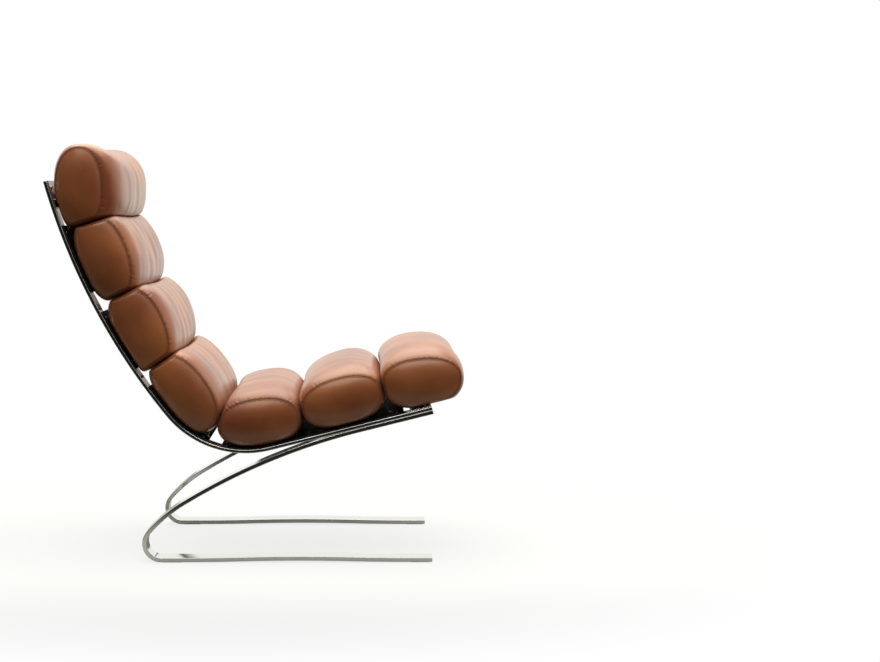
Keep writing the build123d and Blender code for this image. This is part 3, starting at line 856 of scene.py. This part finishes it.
# %% Press a roll into its place
SOFT_CLEARANCE = 0.5
ROLL_GAP = 0.3
BODY_PRESS = 4.0
FOLD_PRESS = 0.6
SEAM_PRESS = 0.3
CONTACT_SAG = 9.0


def soft_floor(value, level, softness):
    """Value where it is well above the level, the level where it is well below, with a smooth turn."""
    return level + 0.5 * ((value - level) + np.sqrt((value - level) ** 2 + softness ** 2))


def carrier_height(x, z, first, last):
    """Height of points above the strip's back face, and its normal, from the nearest spot on the line."""
    line_x, line_z, heading = strip_line.at(np.linspace(first, last, 400))
    normal = np.stack([np.sin(heading), -np.cos(heading)], axis=-1)
    flat = np.stack([x.ravel(), z.ravel()], axis=-1)
    nearest = np.argmin((flat[:, :1] - line_x) ** 2 + (flat[:, 1:] - line_z) ** 2, axis=1)
    away = flat - np.stack([line_x, line_z], axis=-1)[nearest]
    height = np.einsum("ij,ij->i", away, normal[nearest])
    return height.reshape(x.shape), normal[nearest].reshape(*x.shape, 2)


def roll_axis(name):
    """Middle of a roll's end panels in side view."""
    x, z, heading = strip_line.at(ROLLS[name].place, CARRIER_TOP + ROLLS[name].height)
    return np.array([x, z], float)


def press(points, name, softness):
    """Points of a roll pressed softly onto its band and against a surface half way to its neighbours.

    That surface is a plane that sags toward the seat along the middle of the roll. Next to the seam the
    leather turns in, so there the band and the planes stop short of it.
    """
    roll = ROLLS[name]
    x, y, z = points[..., 0], points[..., 1], points[..., 2]
    turned_in = 1 - shoulder_rounding(y)
    height, normal = carrier_height(x, z, roll.place - 150, roll.place + 150)
    level = CARRIER_TOP + SOFT_CLEARANCE + SHOULDER_BACK * turned_in
    lift = soft_floor(height, level, softness) - height
    x, z = x + lift * normal[..., 0], z + lift * normal[..., 1]
    names = list(ROLLS)
    own = roll_axis(name)
    sag = CONTACT_SAG * (1 - np.clip(np.abs(y) / SEAM_Y, 0, 1) ** 2)
    for side in (-1, 1):
        index = names.index(name) + side
        if 0 <= index < len(names):
            other = roll_axis(names[index])
            away = (other - own) / np.linalg.norm(other - own)
            share = roll.span / (roll.span + ROLLS[names[index]].span)
            face = own + (other - own) * share
            inside = (face[0] - x) * away[0] + (face[1] - z) * away[1] - side * sag
            back = soft_floor(inside, ROLL_GAP / 2 + SHOULDER_SPAN * turned_in, softness) - inside
            x, z = x - back * away[0], z - back * away[1]
    return np.stack([x, y, z], axis=-1)


def grid_normals(points):
    """Unit normals of a grid that is closed across its columns, from its two tangents."""
    around = np.roll(points, -1, axis=1) - np.roll(points, 1, axis=1)
    along = np.gradient(points, axis=0)
    normal = np.cross(along, around)
    return normal / np.maximum(np.linalg.norm(normal, axis=-1, keepdims=True), 1e-9)


print("pressing ready")

# %% [markdown]
# ## Folds of the leather
# The tube of leather is cut longer than the stuffing, so along the roll it has length to spare and gathers in
# folds that run round the roll. A cloth simulation finds them: an even grid of the wrap starts at its cut
# length and is blown up a little, while its seams and what rests on the band or a neighbour are drawn in to
# the sewn length. Only the folds are kept from it, as heights above the smooth body.

# %% Let the leather settle
SQUEEZE_FRAMES = 11
SETTLE_FRAMES = 22
SETTLE_COLUMNS = 96
FOLD_LIMIT = 7.0
CREST_LIMIT = 1.6
HELD_DEPTH = 2.5
START_BUMP = 1.5
# Widths of smoothing, along the roll in millimetres and round it in radians
START_WIDTHS = (30, 1.1)
BROAD_WIDTHS = (70, 0.7)
FINE_WIDTHS = (8, 0.24)
CLOTH = {
    "quality": 5, "mass": 0.4, "tension_stiffness": 25, "compression_stiffness": 25, "shear_stiffness": 8,
    "bending_stiffness": 8, "air_damping": 2, "use_pressure": True, "uniform_pressure_force": 2.5,
    "vertex_group_mass": "held",
}


def gauss_weights(targets, sources, width, period=None):
    """Rows of weights exp(-(d / width)^2), each row adding up to one, for smooth values between samples."""
    apart = targets[:, None] - sources[None, :]
    if period:
        apart = apart - period * np.round(apart / period)
    weights = np.exp(-(apart / width) ** 2)
    return weights / weights.sum(axis=1, keepdims=True)


def smoothed(values, sources, targets, widths):
    """Values on one grid of Y and angle, averaged with these weights onto another."""
    along = gauss_weights(targets[0], sources[0], widths[0])
    return along @ values @ gauss_weights(targets[1], sources[1], widths[1], 2 * math.pi).T


def settled(cut, sewn, held):
    """Points of a cloth that starts in its cut shape while its held points move to the sewn shape."""
    rows, columns = cut.shape[:2]
    mesh = bpy.data.meshes.new("loose_leather")
    mesh.from_pydata((cut * MM).reshape(-1, 3).tolist(), [], tube_faces(rows, columns)[0].tolist())
    loose = bpy.data.objects.new("loose_leather", mesh)
    scene.collection.objects.link(loose)
    loose.shape_key_add(name="cut")
    pattern = loose.shape_key_add(name="sewn")
    pattern.data.foreach_set("co", (sewn * MM).astype(np.float32).ravel())
    for moment, value in ((1, 0.0), (SQUEEZE_FRAMES, 1.0)):
        pattern.value = value
        pattern.keyframe_insert("value", frame=moment)
    squeeze = mesh.shape_keys.animation_data.action
    group = loose.vertex_groups.new(name="held")
    group.add([int(index) for index in np.flatnonzero(held)], 1.0, "REPLACE")
    modifier = loose.modifiers.new("leather", "CLOTH")
    cloth = modifier.settings
    for setting, value in CLOTH.items():
        setattr(cloth, setting, value)
    cloth.effector_weights.gravity = 0
    modifier.point_cache.frame_start = 1
    modifier.point_cache.frame_end = SETTLE_FRAMES
    for frame_number in range(1, SETTLE_FRAMES + 1):
        scene.frame_set(frame_number)
    shaped = loose.evaluated_get(bpy.context.evaluated_depsgraph_get()).data
    result = np.empty(rows * columns * 3, np.float32)
    shaped.vertices.foreach_get("co", result)
    bpy.data.objects.remove(loose)
    bpy.data.meshes.remove(mesh)
    bpy.data.actions.remove(squeeze)
    scene.frame_set(1)
    return result.reshape(cut.shape).astype(float) / MM


def leather_folds(name, seed, y, angle):
    """Heights of the folds at every row and column of a roll: the settled cloth less its own smooth part.

    The stuffing holds crests down, so they are made broad: c * (log 2 - log(1 + exp(-h / c))).
    """
    rng = np.random.default_rng(seed)
    turn = np.linspace(0, math.pi / 2, 9)
    half = np.concatenate([SEAM_Y - SHOULDER_LENGTH * (1 - np.cos(turn)),
                           np.linspace(SEAM_Y - SHOULDER_LENGTH, 0, 35)[1:]])
    sim_y = np.concatenate([-half, half[:-1][::-1]])
    sim_angle = np.linspace(0, 2 * math.pi, SETTLE_COLUMNS, endpoint=False)
    body = roll_body(name, sim_y[:, None], 1.0, sim_angle[None, :])
    start = press(body, name, BODY_PRESS)
    held = np.linalg.norm(start - body, axis=-1) > HELD_DEPTH
    held[[0, -1]] = True
    normal = grid_normals(start)
    bumps = rng.normal(0, 1, (len(sim_y), SETTLE_COLUMNS))
    grid = (sim_y, sim_angle)
    bumps = smoothed(bumps, grid, grid, START_WIDTHS)
    bumps = START_BUMP * bumps / np.std(bumps)
    cut = start + normal * (bumps * ~held)[..., None]
    cut[..., 1] *= 1 + ROLLS[name].spare
    rise = settled(cut, start, held.ravel()) - start
    height = np.einsum("ijk,ijk->ij", rise, normal)
    broad = smoothed(height, grid, grid, BROAD_WIDTHS)
    fold = FOLD_LIMIT * np.tanh((height - broad) / FOLD_LIMIT)
    fold = CREST_LIMIT * (math.log(2) - np.logaddexp(0, -fold / CREST_LIMIT))
    print(name, "cloth rose", round(float(height.max()), 1), "mm, folds vary by",
          round(float(np.std(fold)), 2), "mm")
    return smoothed(fold, grid, (y[:, 0], angle[0]), FINE_WIDTHS)


print("folds ready")

# %% [markdown]
# ## Seams
# The panel and the wrap are sewn edge to edge and stitched down on both sides. The seam pulls the leather
# into a groove, gathers it in short puckers across the seam, and shows two rows of thread. All of it depends
# on the distance from the seam, measured along the surface, and the puckers also on the place round the roll.

# %% Sew a roll
STITCH_PITCH = 5.2
STITCH_ROW = 2.9
STITCH_FORM = (3.9, 0.5)
PUCKER_HEIGHT = 0.45
PUCKER_REACH = (5.0, 11.0)
GROOVE_DEPTH = (1.0, 0.5)
SEAM_TONE = (0.85, 0.25)
FOLD_FADE = 20
PHASE_SPAN = 6.28
FIRST_SEED, SEED_STEP = 11, 7


def from_seam(points, y, share):
    """Distance along the surface from the nearer seam, positive on the panel and negative on the wrap."""
    step = np.linalg.norm(np.diff(points, axis=0), axis=-1)
    walked = np.concatenate([np.zeros((1, points.shape[1])), np.cumsum(step, axis=0)])
    seams = np.flatnonzero((np.abs(np.abs(y[:, 0]) - SEAM_Y) < 1e-6) & (share[:, 0] == 1.0))
    near = np.minimum(np.abs(walked - walked[seams[0]]), np.abs(walked - walked[seams[-1]]))
    return np.where(np.arange(len(y))[:, None] < seams[0], near,
                    np.where(np.arange(len(y))[:, None] > seams[-1], near, -near))


def roll_surface(name, seed):
    """Grid of one roll: pressed body, folds, then seams, with each point's crest, seam tone and distance."""
    rng = np.random.default_rng(seed)
    y, share = roll_rows()
    angle = np.linspace(0, 2 * math.pi, AROUND, endpoint=False)[None, :]
    points = press(roll_body(name, y, share, angle), name, BODY_PRESS)
    on_wrap = (share == 1.0) * np.clip((SEAM_Y - np.abs(y)) / FOLD_FADE, 0, 1)
    fold = leather_folds(name, seed, y, angle) * on_wrap
    points = press(points + grid_normals(points) * fold[..., None], name, FOLD_PRESS)
    distance = from_seam(points, y, share)
    phase = rng.uniform(0, PHASE_SPAN, 4)
    beat = (np.sin(56 * angle + 1.6 * np.sin(3 * angle + phase[0]))
            + 0.7 * np.sin(37 * angle + 2 * np.sin(2 * angle + phase[1])))
    patches = 0.55 + 0.45 * np.sin(4 * angle + phase[2]) * np.sin(3 * angle + phase[3])
    reach = np.where(distance > 0, *PUCKER_REACH)
    near = np.exp(-(distance / reach) ** 2) * (1 - np.exp(-(distance / 2.5) ** 2))
    pucker = PUCKER_HEIGHT * near * beat * patches
    from_row = np.abs(distance) - STITCH_ROW
    groove = (-GROOVE_DEPTH[0] * np.exp(-(distance / 1.4) ** 2)
              - GROOVE_DEPTH[1] * np.exp(-(from_row / 0.9) ** 2))
    points = points + grid_normals(points) * (pucker + groove)[..., None]
    points = press(points, name, SEAM_PRESS)
    # Fold height for the finish: it drives the painted sheen on crests and the painted shade in valleys
    crest = np.clip(0.62 + fold / 5.0 + 0.25 * pucker, 0, 1)
    lines = (SEAM_TONE[0] * np.exp(-(distance / 1.1) ** 2)
             + SEAM_TONE[1] * np.exp(-(from_row / 0.8) ** 2))
    return points, crest, np.clip(lines, 0, 1), distance


def add_attribute(piece, name, values):
    """One number for each point of a piece, for its finish to read."""
    layer = piece.data.attributes.new(name, "FLOAT", "POINT")
    layer.data.foreach_set("value", np.asarray(values, np.float32).ravel())


def seam_stitches(points, row):
    """Places, directions and normals of evenly spaced stitches along one row of a roll."""
    ring = points[row]
    normal = grid_normals(points)[row]
    step = np.roll(ring, -1, axis=0) - ring
    walked = np.concatenate([[0], np.cumsum(np.linalg.norm(step, axis=-1))])
    count = int(walked[-1] / STITCH_PITCH)
    spots = (np.arange(count) + 0.5) * walked[-1] / count
    closed = np.concatenate([ring, ring[:1]])
    place = np.stack([np.interp(spots, walked, closed[:, k]) for k in range(3)], axis=-1)
    nearest = np.searchsorted(walked, spots) % len(ring)
    return place, step[nearest - 1], normal[nearest - 1]


print("sewing ready")

# %% Make the seven rolls
for order, name in enumerate(ROLLS):
    points, crest, seam, distance = roll_surface(name, FIRST_SEED + SEED_STEP * order)
    rows, columns = points.shape[:2]
    roll = piece_from(name + "_roll", points, tube_faces(rows, columns), leather,
                      [name + "_roll_cover", name + "_roll_core"])
    add_attribute(roll, "crest", crest)
    add_attribute(roll, "seam", seam)
    typical = distance.mean(axis=1)
    halves = (np.arange(rows) < rows // 2, np.arange(rows) >= rows // 2)
    sets = [seam_stitches(points, int(np.argmin(np.where(half, np.abs(typical - side * STITCH_ROW), np.inf))))
            for half in halves for side in (-1, 1)]
    places, along, normal = [np.concatenate([chosen[k] for chosen in sets]) for k in range(3)]
    points, faces = set_out(stitch_shape(*STITCH_FORM), places, along, normal)
    piece_from(name + "_roll_thread", points, faces, tan_thread)
    print(name, "roll:", len(roll.data.polygons), "faces,", len(places), "stitches")

# %% [markdown]
# ## What stays as it was cut
# The slats inside the rolls and the glides under the runners keep their CAD shapes. They only need a finish:
# pale plywood with a long grain, and a dull grey moulded plastic.

# %% Slats and glides
def wood_finish():
    material, wire, place = new_finish("pale_plywood")
    stretched = wire.node("Mapping", {}, {"Vector": place, "Scale": (30, 2, 30)})
    grain = wire.node("TexNoise", {}, {"Vector": stretched, "Scale": 6.0, "Detail": 6.0, "Distortion": 0.6})
    colour = grain.ease(0.3, 0.7).between(tint(176, 138, 92), tint(206, 172, 124))
    normal = bump(wire, 0.2, 0.0005, grain)
    close_finish(wire, {"Base Color": colour, "Roughness": 0.55 + grain * 0.15}, normal)
    return material


def glide_finish():
    material, wire, place = new_finish("grey_moulded_plastic")
    spark = noise(wire, place, 700.0, 2.0)
    colour = spark.between((0.10, 0.10, 0.105, 1), (0.15, 0.15, 0.155, 1))
    normal = bump(wire, 0.25, 0.0004, spark)
    close_finish(wire, {"Base Color": colour, "Roughness": 0.5 + spark * 0.15}, normal)
    return material


def dress(node, material):
    """Gives a CAD node another finish in all its slots."""
    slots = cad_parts[node].data.materials
    for index in range(len(slots)):
        slots[index] = material


plywood = wood_finish()
plastic = glide_finish()
for name in ROLLS:
    dress(name + "_roll_slat", plywood)
dress("floor_glides", plastic)
print(len(ROLLS), "slats and the glides dressed")
